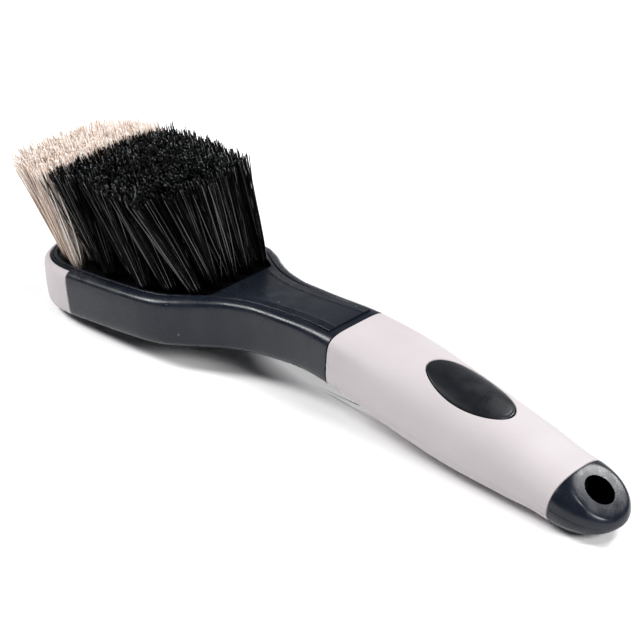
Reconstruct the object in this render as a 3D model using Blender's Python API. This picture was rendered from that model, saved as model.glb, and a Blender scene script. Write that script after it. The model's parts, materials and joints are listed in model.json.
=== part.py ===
"""Wheel brush: bristle head, bent neck and soft-covered grip, lying on its back with the bristles up.

The brush is drawn along a spine that starts at the nose. On the head the spine is straight; over the
neck it bends down, away from the bristles. Everything is drawn in the head's own axes (X along the head,
Z out of the bristle face) and then tipped by one parent empty, so that the nose and the underside of the
grip stand on z = 0. Sizes are in millimetres here and become metres when a mesh is made.
"""
import math

import bmesh
import bpy
import numpy as np
from mathutils import Vector

MM = 0.001
GAP = 0.3                      # clearance between pieces that touch

# Along the spine, from the nose
SPINE_LENGTH = 275.0
HEAD_END = 95.0                # the head is straight up to here
BUMPER_END = 31.2              # the soft bumper wraps the nose up to here
PLATE_END = 150.5              # square rear end of the bristle plate
GRIP_START = 153.4
GRIP_END = 254.4
CAP_ROUND_START = 257.0        # from here the plan outline closes in a half ellipse
TAPER_START = 250.0            # from here the thickness closes too

# Half widths in plan: (distance along the spine, half width)
NOSE_LENGTH = 33.5
NOSE_POWER = 2.5               # 2 would be an ellipse, more is blunter
HALF_WIDTHS = [(33.5, 33.5), (52, 33.2), (70, 32.4), (80, 30.8), (88, 27.2), (96, 22.4), (106, 17.6),
               (118, 14.9), (135, 14.4), (158, 15.6), (182, 16.6), (206, 16.0), (235, 15.1), (257, 14.6)]
HALF_THICKNESSES = [(0, 10.0), (100, 10.0), (130, 9.8), (160, 11.2), (200, 14.6), (235, 12.0), (250, 9.8)]
# The thickness of the rounded end falls as (1 - share ^ power) ^ root
CAP_TAPER_POWER = 2.2
CAP_TAPER_ROOT = 0.6
# Direction of the spine in degrees below the head, superellipse power of a section, and the share of a
# section's height over which its curved sides rise before it is flat
BENDS = [(HEAD_END, 0.0), (130, 1.0), (160, 12.0), (190, 17.0), (220, 13.0), (250, 14.5), (275, 20.5)]
SQUARENESS = [(0, 8.0), (100, 8.0), (150, 5.0), (200, 2.6), (275, 2.5)]
FLATTENING = [(0, 0.97), (100, 0.97), (150, 1.0), (275, 1.0)]

SOLE_DEPTH = 0.3               # the nose and the grip stand on flats cut this deep into them
TOOL_REACH = 30.0              # cutting tools run this far past the solid they cut
BUMPER_WALL = 3.0
PLATE_INSET = 4.5              # plate edge to the outline
PLATE_THICKNESS = 6.0
POCKET_RISE = 5.0              # the plate's pocket is cut this far over the plate
SLEEVE_WALL = 3.0
PAD_CENTRE = 206.0
PAD_HALF_LENGTH = 19.0
PAD_HALF_WIDTH = 9.7
PAD_SINK = 2.0                 # the pad's foot lies this far under the grip's surface
PAD_RISE = 0.9                 # and its middle stands this far over it
PLUG_DEPTH = 14.0              # end cap plug inside the tang
PLUG_HALF_WIDTH = 7.0
PLUG_HALF_HEIGHT = 3.4
JOINED = 2.0                   # pieces of one moulding run this far into each other
HANG_HOLE_CENTRE = 263.3
HANG_HOLE_RADIUS = 5.0
RING_HEIGHT = 6.5              # height of the flat face over the spine, at the hang hole
RING_SLOPE = 36.9              # degrees down from the head's plane
RING_TOOL_HALF = 20.0

# Bristle tufts, in straight rows across the head
ROW_PITCH = 10.0
FIRST_ROW = 10.5
TUFTS_IN_ROW = [3, 6, 7, 6, 7, 6, 7, 6, 5]
PALE_ROWS = 3
TUFT_PITCH = 8.2
TUFT_SIDES = 8
TUFT_ROOT_RADIUS = 2.2
TUFT_TIP_HALF_LENGTH = 4.5
TUFT_TIP_HALF_WIDTH = 4.1
TUFT_SEAT = 4.4                # depth of a tuft hole in the plate
TUFT_HOLE_RADIUS = 2.6
TUFT_SPREADING = 0.8           # a tuft widens with this power of its height
TRIM_HEIGHT = 40.0             # bristle tips over the plate
TRIM_CROWN = 1.5               # the trim falls by this much at CROWN_LENGTH or CROWN_WIDTH from its middle
CROWN_LENGTH = 45.0
CROWN_WIDTH = 30.0
FAN_SPREAD_X = 1.09            # tip spacing over root spacing, along the head
FAN_SHIFT_X = -14.3            # the whole fan leans towards the nose
TIP_ROW_HALVES = [16.0, 25.0, 26.0, 25.5, 26.0, 25.5, 25.5, 24.5, 23.5]  # outer tip of each row, off centre
REAR_START = 40.0              # from here back the trimmed outline turns in
REAR_BOW = 7.0                 # the last row's outer tips stand this much further forward
REAR_LEAN = -5.0               # and its tips lean this much to one side

SECTION_POINTS = 32
HIDDEN_POINTS = 20             # for surfaces inside the grip
PLUG_POINTS = 16
OVAL_POINTS = 32
NOSE_TIP = 0.06                # the first section stands this far behind the nose point
NOSE_STEPS = 9
NOSE_OUTLINE_STEPS = 16
CAP_STEPS = 8
STATION_STEP = 4.8
SMALLEST_HALF = 0.4            # of an inset section
SHARP_ANGLE = 35.0             # degrees; edges sharper than this stay sharp in shading


def ease(knots, at):
    """Smooth curve through (place, value) knots, without overshoot."""
    x, y = np.array(knots, dtype=float).T
    step = np.diff(x)
    slope = np.diff(y) / step
    tangent = np.zeros(len(x))
    same = slope[1:] * slope[:-1] > 0
    inner = np.zeros(len(x) - 2)
    w1, w2 = 2 * step[1:] + step[:-1], step[1:] + 2 * step[:-1]
    inner[same] = (w1 + w2)[same] / (w1[same] / slope[:-1][same] + w2[same] / slope[1:][same])
    tangent[1:-1] = inner
    at = np.clip(at, x[0], x[-1])
    i = int(np.clip(np.searchsorted(x, at) - 1, 0, len(x) - 2))
    t = (at - x[i]) / step[i]
    return (y[i] * (1 + 2 * t) * (1 - t) ** 2 + tangent[i] * step[i] * t * (1 - t) ** 2
            + y[i + 1] * t * t * (3 - 2 * t) - tangent[i + 1] * step[i] * t * t * (1 - t))


def bend(s):
    """Direction of the spine below the head's plane, in radians."""
    return math.radians(ease(BENDS, s))


def spine_table():
    """Spine points every millimetre, in the head's axes."""
    points = [(0.0, 0.0)]
    for s in range(int(SPINE_LENGTH)):
        angle = bend(s + 0.5)
        x, z = points[-1]
        points.append((x + math.cos(angle), z - math.sin(angle)))
    return np.array(points)


SPINE = spine_table()


def place(s, y, up):
    """Point at distance s along the spine, y to the side and up from the spine, as a Vector."""
    stations = np.arange(len(SPINE))
    x = np.interp(s, stations, SPINE[:, 0])
    z = np.interp(s, stations, SPINE[:, 1])
    angle = bend(s)
    return Vector((x + up * math.sin(angle), y, z + up * math.cos(angle)))


def half_width(s):
    """Half the width in plan: rounded nose, fair sides, rounded end."""
    if s < NOSE_LENGTH:
        share = max(1.0 - (1.0 - s / NOSE_LENGTH) ** NOSE_POWER, 0.0)
        return HALF_WIDTHS[0][1] * share ** (1.0 / NOSE_POWER)
    if s > CAP_ROUND_START:
        share = (s - CAP_ROUND_START) / (SPINE_LENGTH - CAP_ROUND_START)
        return HALF_WIDTHS[-1][1] * math.sqrt(max(1.0 - share * share, 0.0))
    return ease(HALF_WIDTHS, s)


def half_thickness(s):
    """Half the thickness, square to the spine."""
    if s > TAPER_START:
        share = (s - TAPER_START) / (SPINE_LENGTH - TAPER_START)
        return HALF_THICKNESSES[-1][1] * max(1.0 - share ** CAP_TAPER_POWER, 0.0) ** CAP_TAPER_ROOT
    return ease(HALF_THICKNESSES, s)


def section(s, half_w, half_h, points):
    """Closed superellipse section; its top and bottom are flat where FLATTENING says."""
    power = 2.0 / ease(SQUARENESS, s)
    flat = ease(FLATTENING, s)
    ring = []
    for k in range(points):
        angle = 2.0 * math.pi * (k + 0.5) / points
        c, n = math.cos(angle), math.sin(angle)
        y = half_w * math.copysign(abs(c) ** power, c)
        up = math.copysign(min(abs(n) ** power, flat) / flat, n) * half_h
        ring.append(place(s, y, up))
    return ring


def stations(first, last, step):
    """Evenly spaced places along the spine, about step apart."""
    count = max(int(round((last - first) / step)), 1)
    return [first + (last - first) * k / count for k in range(count + 1)]


def nose_stations(count):
    """Stations over the rounded nose, closest together where the outline turns fastest."""
    angles = [0.5 * math.pi * k / count for k in range(1, count + 1)]
    return [NOSE_LENGTH * (1.0 - math.cos(a) ** (2.0 / NOSE_POWER)) for a in angles]


def cap_stations(count):
    """Stations over the rounded end, closest together at its tip."""
    length = SPINE_LENGTH - CAP_ROUND_START
    return [CAP_ROUND_START + length * math.sin(0.5 * math.pi * k / (count + 0.5)) for k in range(count + 1)]


def mesh_object(name, bm):
    """Object from a closed bmesh drawn in millimetres in the head's axes."""
    bmesh.ops.recalc_face_normals(bm, faces=bm.faces)
    bmesh.ops.scale(bm, vec=(MM, MM, MM), verts=bm.verts)
    mesh = bpy.data.meshes.new(name)
    bm.to_mesh(mesh)
    bm.free()
    obj = bpy.data.objects.new(name, mesh)
    bpy.context.collection.objects.link(obj)
    obj.parent = REST
    return obj


def loft(name, rings):
    """Closed solid through rings of the same number of points."""
    bm = bmesh.new()
    loops = [[bm.verts.new(point) for point in ring] for ring in rings]
    for a, b in zip(loops, loops[1:]):
        for i in range(len(a)):
            j = (i + 1) % len(a)
            bm.faces.new((a[i], a[j], b[j], b[i]))
    bm.faces.new(loops[0])
    bm.faces.new(list(reversed(loops[-1])))
    return mesh_object(name, bm)


def outer_loft(name, places, inset=0.0, points=SECTION_POINTS):
    """Solid with the brush's outer shape, or one inset from it."""
    rings = []
    for s in places:
        half_w = max(half_width(s) - inset, SMALLEST_HALF)
        half_h = max(half_thickness(s) - inset, SMALLEST_HALF)
        rings.append(section(s, half_w, half_h, points))
    return loft(name, rings)


def cut(obj, tool, operation="DIFFERENCE"):
    """Boolean with a hidden tool object."""
    tool.hide_render = True
    tool.display_type = "WIRE"
    modifier = obj.modifiers.new(tool.name, "BOOLEAN")
    modifier.operation = operation
    modifier.solver = "EXACT"
    modifier.object = tool


def half_nose_outline(inset, end):
    """One side of the nose in plan, inset from the body's outline, from the nose point to end."""
    shrink = 1.0 - inset / HALF_WIDTHS[0][1]
    half = []
    for k in range(NOSE_OUTLINE_STEPS + 1):
        angle = 0.5 * math.pi * k / NOSE_OUTLINE_STEPS
        x = NOSE_LENGTH * (1.0 - math.cos(angle) ** (2.0 / NOSE_POWER))
        y = HALF_WIDTHS[0][1] * math.sin(angle) ** (2.0 / NOSE_POWER)
        half.append((NOSE_LENGTH - (NOSE_LENGTH - x) * shrink, y * shrink))
    return [point for point in half if point[0] < end] + [(end, half_width(end) - inset)]


def bumper_band(name, inner, end):
    """C-shaped tool round the nose, from a line inside the body's outline to well outside it."""
    inside = half_nose_outline(inner, end)
    outside = half_nose_outline(-2.0 * BUMPER_WALL, end)
    outline = outside + inside[::-1]
    outline += [(x, -y) for x, y in inside[1:]] + [(x, -y) for x, y in outside[:0:-1]]
    return loft(name, [[Vector((x, y, z)) for x, y in outline] for z in (-TOOL_REACH, TOOL_REACH)])


def plate_loft(name, grow, deeper, rise):
    """Bristle plate or, grown a little, the pocket it lies in."""
    inset = PLATE_INSET - grow
    shrink = 1.0 - inset / NOSE_LENGTH
    nose = [NOSE_LENGTH - (NOSE_LENGTH - s) * shrink for s in nose_stations(NOSE_STEPS + 1)[1:]]
    rings = []
    for s in nose + stations(NOSE_LENGTH, PLATE_END + grow, STATION_STEP)[1:]:
        if s < NOSE_LENGTH:
            half = half_width(NOSE_LENGTH - (NOSE_LENGTH - s) / shrink) * shrink
        else:
            half = half_width(s) - inset
        top = half_thickness(s) + rise
        low = half_thickness(s) - PLATE_THICKNESS - deeper
        across = [-1.0, -0.5, 0.0, 0.5, 1.0]
        rings.append([place(s, half * a, top) for a in across]
                     + [place(s, half * a, low) for a in reversed(across)])
    return loft(name, rings)


def oval_loft(name, centre, half_length, half_w, low, high):
    """Straight oval solid across the spine, its axis square to the spine at centre."""
    angle = bend(centre)
    base = place(centre, 0.0, 0.0)
    along = Vector((math.cos(angle), 0.0, -math.sin(angle)))
    normal = Vector((math.sin(angle), 0.0, math.cos(angle)))
    turns = [2.0 * math.pi * k / OVAL_POINTS for k in range(OVAL_POINTS)]
    outline = [base + along * (half_length * math.cos(t)) + Vector((0.0, half_w * math.sin(t), 0.0))
               for t in turns]
    return loft(name, [[point + normal * up for point in outline] for up in (low, high)])


def surface_height(s, y):
    """Height of the outer surface over the spine."""
    power = ease(SQUARENESS, s)
    return half_thickness(s) * (1.0 - abs(y / half_width(s)) ** power) ** (1.0 / power)


def make_body():
    """Head tray, neck and tang in one moulding, with seats for the bumper, the plate and the cap's plug."""
    shell = [NOSE_TIP] + nose_stations(NOSE_STEPS) + stations(NOSE_LENGTH, GRIP_START, STATION_STEP)[1:]
    body = outer_loft("body", shell)
    inside = stations(GRIP_START - JOINED, GRIP_END - GAP, 2.0 * STATION_STEP)
    cut(body, outer_loft("tang", inside, SLEEVE_WALL + GAP, HIDDEN_POINTS), "UNION")
    cut(body, bumper_band("bumper_seat", BUMPER_WALL + GAP, BUMPER_END + GAP))
    cut(body, plate_loft("plate_pocket", GAP, GAP, POCKET_RISE))
    cut(body, plug_loft("plug_socket", GAP))
    return body


def plug_loft(name, grow):
    """Plug of the end cap, or the socket for it in the tang."""
    places = stations(GRIP_END - PLUG_DEPTH - grow, GRIP_END + JOINED, STATION_STEP)
    return loft(name, [section(s, PLUG_HALF_WIDTH + grow, PLUG_HALF_HEIGHT + grow, PLUG_POINTS)
                       for s in places])


def make_plate():
    """Plate let into the head and neck, with a blind hole for every tuft."""
    plate = plate_loft("bristle_plate", 0.0, 0.0, 0.0)
    top = HALF_THICKNESSES[0][1]
    bm = bmesh.new()
    for _, foot, _, _ in tufts():
        centre = Vector((foot[0], foot[1], 0.0))
        loops = []
        for z in (top - TUFT_SEAT - GAP, top + POCKET_RISE):
            hole = around(centre + Vector((0.0, 0.0, z)), TUFT_HOLE_RADIUS, TUFT_HOLE_RADIUS)
            loops.append([bm.verts.new(point) for point in hole])
        for i in range(TUFT_SIDES):
            j = (i + 1) % TUFT_SIDES
            bm.faces.new((loops[0][i], loops[0][j], loops[1][j], loops[1][i]))
        bm.faces.new(loops[0][::-1])
        bm.faces.new(loops[1])
    cut(plate, mesh_object("tuft_holes", bm))
    return plate


def around(centre, half_length, half_w):
    """Level ring of TUFT_SIDES points round a centre."""
    turns = [2.0 * math.pi * (k + 0.5) / TUFT_SIDES for k in range(TUFT_SIDES)]
    return [centre + Vector((half_length * math.cos(t), half_w * math.sin(t), 0.0)) for t in turns]


def tufts():
    """Name, foot, tip and colour of every tuft, row by row from the nose."""
    found = []
    last_row = FIRST_ROW + ROW_PITCH * (len(TUFTS_IN_ROW) - 1)
    crown_centre = (FIRST_ROW + last_row) / 2.0
    for row, count in enumerate(TUFTS_IN_ROW):
        x = FIRST_ROW + ROW_PITCH * row
        rear = max(0.0, (x - REAR_START) / (last_row - REAR_START))
        shade = "pale" if row < PALE_ROWS else "black"
        for k in range(count):
            y = TUFT_PITCH * (k - (count - 1) / 2.0)
            away = ((x - crown_centre) / CROWN_LENGTH) ** 2 + (y / CROWN_WIDTH) ** 2
            height = TRIM_HEIGHT - TRIM_CROWN * away
            side = 2.0 * k / (count - 1) - 1.0
            tip_x = x * FAN_SPREAD_X + FAN_SHIFT_X - REAR_BOW * rear * side * side
            tip_y = TIP_ROW_HALVES[row] * side + REAR_LEAN * rear * rear
            tip = (tip_x, tip_y, HALF_THICKNESSES[0][1] + height)
            found.append(("tuft_%s_row%d_%d" % (shade, row + 1, k + 1), (x, y), tip, shade))
    return found


def make_tuft(name, foot, tip):
    """Round foot in the plate, fanning out to an oval trimmed tip."""
    top = HALF_THICKNESSES[0][1]
    neck = Vector((foot[0], foot[1], top + GAP))
    rings = [around(Vector((foot[0], foot[1], top - TUFT_SEAT)), TUFT_ROOT_RADIUS, TUFT_ROOT_RADIUS)]
    for share in (0.0, 0.35, 0.7, 1.0):
        spread = share ** TUFT_SPREADING
        rings.append(around(neck.lerp(Vector(tip), share),
                            TUFT_ROOT_RADIUS + (TUFT_TIP_HALF_LENGTH - TUFT_ROOT_RADIUS) * spread,
                            TUFT_ROOT_RADIUS + (TUFT_TIP_HALF_WIDTH - TUFT_ROOT_RADIUS) * spread))
    return loft(name, rings)


def make_bumper():
    """Band of the outer shape round the nose."""
    shell = [NOSE_TIP] + nose_stations(NOSE_STEPS) + [NOSE_LENGTH + STATION_STEP]
    bumper = outer_loft("nose_bumper", shell)
    cut(bumper, bumper_band("bumper_tool", BUMPER_WALL, BUMPER_END), "INTERSECT")
    return bumper


def make_sleeve():
    """Soft tube over the tang, with a window for the thumb pad."""
    sleeve = outer_loft("grip_sleeve", stations(GRIP_START + GAP, GRIP_END, STATION_STEP))
    bore = stations(GRIP_START - JOINED, GRIP_END + JOINED, 2.0 * STATION_STEP)
    cut(sleeve, outer_loft("sleeve_bore", bore, SLEEVE_WALL, HIDDEN_POINTS))
    cut(sleeve, oval_loft("pad_window", PAD_CENTRE, PAD_HALF_LENGTH + GAP, PAD_HALF_WIDTH + GAP,
                          0.0, TOOL_REACH))
    return sleeve


def make_pad():
    """Oval pad whose underside and domed top both follow the surface of the grip."""
    # Share of the outline, and height over the grip's surface, of each ring from the foot to the middle
    profile = [(0.4, -PAD_SINK), (1.0, -PAD_SINK), (1.0, -0.1), (0.93, 0.45 * PAD_RISE),
               (0.7, 0.85 * PAD_RISE), (0.35, PAD_RISE)]
    rings = []
    for scale, rise in profile:
        ring = []
        for k in range(OVAL_POINTS):
            angle = 2.0 * math.pi * k / OVAL_POINTS
            s = PAD_CENTRE + PAD_HALF_LENGTH * scale * math.cos(angle)
            y = PAD_HALF_WIDTH * scale * math.sin(angle)
            ring.append(place(s, y, surface_height(s, y) + rise))
        rings.append(ring)
    return loft("thumb_pad", rings)


def make_cap():
    """Rounded end with a plug for the tang, a sloping flat face and the hang hole through it."""
    places = stations(GRIP_END + GAP, CAP_ROUND_START, STATION_STEP) + cap_stations(CAP_STEPS)[1:]
    cap = outer_loft("end_cap", places)
    cut(cap, plug_loft("cap_plug", 0.0), "UNION")
    cut(cap, oval_loft("hang_hole", HANG_HOLE_CENTRE, HANG_HOLE_RADIUS, HANG_HOLE_RADIUS, -TOOL_REACH, TOOL_REACH))
    slope = math.radians(RING_SLOPE)
    centre = place(HANG_HOLE_CENTRE, 0.0, RING_HEIGHT)
    along = Vector((math.cos(slope), 0.0, -math.sin(slope)))
    normal = Vector((math.sin(slope), 0.0, math.cos(slope)))
    corners = [centre + along * (RING_TOOL_HALF * a) + Vector((0.0, RING_TOOL_HALF * b, 0.0))
               for a, b in ((-1, -1), (1, -1), (1, 1), (-1, 1))]
    cut(cap, loft("ring_face", [corners, [corner + normal * TOOL_REACH for corner in corners]]))
    return cap


def material(name, colour, roughness, metallic=0.0):
    made = bpy.data.materials.new(name)
    made.use_nodes = True
    shader = made.node_tree.nodes["Principled BSDF"]
    shader.inputs["Base Color"].default_value = (*colour, 1.0)
    shader.inputs["Roughness"].default_value = roughness
    shader.inputs["Metallic"].default_value = metallic
    return made


def rest_tilt():
    """Angle that brings the underside of the nose and of the grip onto one level."""
    nose = place(STATION_STEP, 0.0, -half_thickness(STATION_STEP))
    steepest = 0.0
    for s in range(int(GRIP_START), int(SPINE_LENGTH)):
        low = place(s, 0.0, -half_thickness(s))
        steepest = min(steepest, (low.z - nose.z) / (low.x - nose.x))
    return math.atan(steepest)


def stand(objects, resting):
    """Tip the brush onto its nose and grip, centre its box over the origin and level what it rests on."""
    REST.rotation_euler = (0.0, rest_tilt(), 0.0)
    bpy.context.view_layer.update()
    scene = bpy.context.evaluated_depsgraph_get()
    points = []
    for obj in objects:
        points += [obj.matrix_world @ vertex.co for vertex in obj.evaluated_get(scene).data.vertices]
    along = [point.x for point in points]
    middle = (min(along) + max(along)) / 2.0
    lowest = min(point.z for point in points) + SOLE_DEPTH * MM
    REST.location = (-middle, 0.0, -lowest)
    corners = [(SPINE_LENGTH * a, TOOL_REACH * 2.0 * b) for a, b in ((-1, -1), (1, -1), (1, 1), (-1, 1))]
    floor = loft("floor", [[Vector((x, y, z)) for x, y in corners] for z in (-TOOL_REACH, 0.0)])
    floor.parent = None
    for obj in resting:
        cut(obj, floor)
    bpy.context.view_layer.update()


for old in list(bpy.data.objects):
    bpy.data.objects.remove(old, do_unlink=True)
REST = bpy.data.objects.new("rest", None)
bpy.context.collection.objects.link(REST)

dark = material("dark_plastic", (0.035, 0.045, 0.065), 0.38)
face = material("plate_plastic", (0.03, 0.037, 0.052), 0.45)
soft = material("pale_rubber", (0.72, 0.66, 0.67), 0.65)
black = material("black_rubber", (0.012, 0.012, 0.014), 0.45)
pale_hair = material("pale_bristle", (0.72, 0.62, 0.5), 0.5)
black_hair = material("black_bristle", (0.01, 0.01, 0.011), 0.35)

pieces = [(make_body(), dark), (make_plate(), face), (make_bumper(), soft), (make_sleeve(), soft),
          (make_pad(), black), (make_cap(), dark)]
for tuft_name, tuft_foot, tuft_tip, tuft_shade in tufts():
    hair = pale_hair if tuft_shade == "pale" else black_hair
    pieces.append((make_tuft(tuft_name, tuft_foot, tuft_tip), hair))
for piece, finish in pieces:
    piece.data.materials.append(finish)
    piece.data.shade_smooth()
    piece.data.set_sharp_from_angle(angle=math.radians(SHARP_ANGLE))
named = {piece.name: piece for piece, _ in pieces}
stand(list(named.values()), [named["nose_bumper"], named["grip_sleeve"]])
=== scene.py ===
"""Looks of the wheel brush: finished skins, real bristles, materials, floor, light and camera.

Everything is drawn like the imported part: along a spine that starts at the nose, in millimetres in the
head's own axes (X along the head, Z out of the bristle face), and then set into the frame by the pose that
the record's back_face mount gives.
"""

import json
import math

import bmesh
import bpy
import numpy as np
from mathutils import Matrix, Vector


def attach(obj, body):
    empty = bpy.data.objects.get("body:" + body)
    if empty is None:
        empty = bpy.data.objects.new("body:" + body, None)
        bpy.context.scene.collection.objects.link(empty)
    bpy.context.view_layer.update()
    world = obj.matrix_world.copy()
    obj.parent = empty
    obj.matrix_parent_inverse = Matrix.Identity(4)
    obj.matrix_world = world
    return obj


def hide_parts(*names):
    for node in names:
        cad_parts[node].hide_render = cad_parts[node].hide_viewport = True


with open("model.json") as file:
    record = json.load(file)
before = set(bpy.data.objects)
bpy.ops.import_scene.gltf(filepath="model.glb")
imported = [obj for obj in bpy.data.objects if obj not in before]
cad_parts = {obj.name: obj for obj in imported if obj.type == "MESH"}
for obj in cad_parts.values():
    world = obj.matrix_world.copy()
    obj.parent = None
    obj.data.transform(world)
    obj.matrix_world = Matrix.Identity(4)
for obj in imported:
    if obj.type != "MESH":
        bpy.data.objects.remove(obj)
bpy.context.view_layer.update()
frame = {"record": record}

# ---------------------------------------------------------------- driving dimensions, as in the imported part
MM = 0.001
GAP = 0.3
SPINE_LENGTH = 275.0
HEAD_END = 95.0
BUMPER_END = 31.2
PLATE_END = 150.5
GRIP_START = 153.4
GRIP_END = 254.4
CAP_ROUND_START = 257.0
TAPER_START = 250.0
NOSE_LENGTH = 33.5
NOSE_POWER = 2.5
HALF_WIDTHS = [(33.5, 33.5), (52, 33.2), (70, 32.4), (80, 30.8), (88, 27.2), (96, 22.4), (106, 17.6),
               (118, 14.9), (135, 14.4), (158, 15.6), (182, 16.6), (206, 16.0), (235, 15.1), (257, 14.6)]
HALF_THICKNESSES = [(0, 10.0), (100, 10.0), (130, 9.8), (160, 11.2), (200, 14.6), (235, 12.0), (250, 9.8)]
BENDS = [(HEAD_END, 0.0), (130, 1.0), (160, 12.0), (190, 17.0), (220, 13.0), (250, 14.5), (275, 20.5)]
SQUARENESS = [(0, 8.0), (100, 8.0), (150, 5.0), (200, 2.6), (275, 2.5)]
FLATTENING = [(0, 0.97), (100, 0.97), (150, 1.0), (275, 1.0)]
CAP_TAPER_POWER = 2.2
CAP_TAPER_ROOT = 0.6
BUMPER_WALL = 3.0
PLATE_INSET = 4.5
PLATE_THICKNESS = 6.0
SLEEVE_WALL = 3.0
PAD_CENTRE = 206.0
PAD_HALF_LENGTH = 19.0
PAD_HALF_WIDTH = 9.7
PAD_SINK = 2.0
PAD_RISE = 0.9
HANG_HOLE_CENTRE = 263.3
HANG_HOLE_RADIUS = 5.0
RING_HEIGHT = 6.5
RING_SLOPE = 36.9
ROW_PITCH = 10.0
FIRST_ROW = 10.5
TUFTS_IN_ROW = [3, 6, 7, 6, 7, 6, 7, 6, 5]
PALE_ROWS = 3
TUFT_PITCH = 8.2
TUFT_ROOT_RADIUS = 2.2
TUFT_SEAT = 4.4
TRIM_HEIGHT = 40.0
TRIM_CROWN = 1.5
CROWN_LENGTH = 45.0
CROWN_WIDTH = 30.0
FAN_SPREAD_X = 1.09
FAN_SHIFT_X = -14.3
TIP_ROW_HALVES = [16.0, 25.0, 26.0, 25.5, 26.0, 25.5, 25.5, 24.5, 23.5]
REAR_START = 40.0
REAR_BOW = 7.0
REAR_LEAN = -5.0
BACK_FACE_AT = 47.5            # the record's back_face mount lies under this place of the spine

# ---------------------------------------------------------------- finish dimensions
OUTLINE_STEP = 0.75            # spacing of points round the plan outline
EDGE = 0.25                    # radius of a hard plastic edge
SOFT_EDGE = 0.5                # radius of a rubber edge
FLASH = 0.06                   # height of a mould parting line
FLASH_HALF = 0.16              # half its width
CAP_FLASH = 0.13               # its height on the cap
SLEEVE_FLASH = 0.22            # its extra height near both ends of the sleeve
SLEEVE_NUB = 0.5               # height of the nub at the front of the sleeve's parting line
LIP_INSET = PLATE_INSET - GAP  # the body's lip round the plate
FIELD_INSET = 1.1              # plate edge to the sunk bristle field
FIELD_DEPTH = 1.1
FIELD_END = 97.0
FIELD_CORNER = 2.5
BEAD_HALF = 0.22               # half width of the uneven bead round the field
BEAD_HEIGHT = 0.14
PAD_BEAD = 0.12                # height at which the pad's dome starts, inside the bead round its edge
PAD_DOME_EDGE = 0.93           # share of the pad's half size that the dome takes up
HOLE_ROUNDING = 0.6            # radius of the hang hole's rim
SHARP_ANGLE = 38.0             # edges steeper than this, in degrees, stay sharp
WELD = 0.004                   # points nearer than this are one
FLARE_ANGLES = [15, 30, 45, 60, 74]
FACE_SOFTNESS = 0.18           # how softly the flat face of the cap turns into the round
FACE_CROWN = 170.0             # radius that the face is crowned with, from its middle to its edge
FACE_REACH = 8.6               # distance from its middle at which the crown is level with the flat face


def ease(knots, at):
    """Smooth curve through (place, value) knots, without overshoot. Takes one place or an array."""
    x, y = np.array(knots, dtype=float).T
    step = np.diff(x)
    slope = np.diff(y) / step
    tangent = np.zeros(len(x))
    same = slope[1:] * slope[:-1] > 0
    inner = np.zeros(len(x) - 2)
    w1, w2 = 2 * step[1:] + step[:-1], step[1:] + 2 * step[:-1]
    inner[same] = (w1 + w2)[same] / (w1[same] / slope[:-1][same] + w2[same] / slope[1:][same])
    tangent[1:-1] = inner
    at = np.clip(np.asarray(at, dtype=float), x[0], x[-1])
    i = np.clip(np.searchsorted(x, at) - 1, 0, len(x) - 2)
    t = (at - x[i]) / step[i]
    return (y[i] * (1 + 2 * t) * (1 - t) ** 2 + tangent[i] * step[i] * t * (1 - t) ** 2
            + y[i + 1] * t * t * (3 - 2 * t) - tangent[i + 1] * step[i] * t * t * (1 - t))


def smooth(low, high, at):
    """0 below low, 1 above high, smooth in between."""
    t = np.clip((np.asarray(at, dtype=float) - low) / (high - low), 0.0, 1.0)
    return t * t * (3.0 - 2.0 * t)


def bend(s):
    """Angle, in radians, that the spine has turned down by at s."""
    return np.radians(ease(BENDS, s))


def spine_table():
    """Place of the spine at every whole millimetre, as rows of x and z."""
    points = [(0.0, 0.0)]
    for s in range(int(SPINE_LENGTH)):
        angle = float(bend(s + 0.5))
        x, z = points[-1]
        points.append((x + math.cos(angle), z - math.sin(angle)))
    return np.array(points)


SPINE = spine_table()


def place(s, y, up):
    """Points at distance s along the spine, y to the side and up from the spine, as an (..., 3) array."""
    s, y, up = np.broadcast_arrays(np.asarray(s, float), np.asarray(y, float), np.asarray(up, float))
    stations = np.arange(len(SPINE))
    x = np.interp(s, stations, SPINE[:, 0])
    z = np.interp(s, stations, SPINE[:, 1])
    angle = bend(s)
    return np.stack([x + up * np.sin(angle), y, z + up * np.cos(angle)], axis=-1)


def half_width(s):
    """Half of the plan width at s: blunt nose, waisted sides, round end."""
    s = np.asarray(s, dtype=float)
    nose = np.clip(1.0 - np.clip(1.0 - s / NOSE_LENGTH, 0.0, 1.0) ** NOSE_POWER, 0.0, 1.0)
    nose = HALF_WIDTHS[0][1] * nose ** (1.0 / NOSE_POWER)
    share = np.clip((s - CAP_ROUND_START) / (SPINE_LENGTH - CAP_ROUND_START), 0.0, 1.0)
    end = HALF_WIDTHS[-1][1] * np.sqrt(1.0 - share * share)
    side = ease(HALF_WIDTHS, s)
    return np.where(s < NOSE_LENGTH, nose, np.where(s > CAP_ROUND_START, end, side))


def half_thickness(s):
    """Half of the thickness at s, which runs out at the round end."""
    s = np.asarray(s, dtype=float)
    share = np.clip((s - TAPER_START) / (SPINE_LENGTH - TAPER_START), 0.0, 1.0)
    end = HALF_THICKNESSES[-1][1] * (1.0 - share ** CAP_TAPER_POWER) ** CAP_TAPER_ROOT
    return np.where(s > TAPER_START, end, ease(HALF_THICKNESSES, s))


def surface_height(s, y):
    """Height of the outer surface over the spine."""
    power = ease(SQUARENESS, s)
    share = np.clip(np.abs(y / half_width(s)), 0.0, 1.0)
    return half_thickness(s) * (1.0 - share ** power) ** (1.0 / power)


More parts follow.
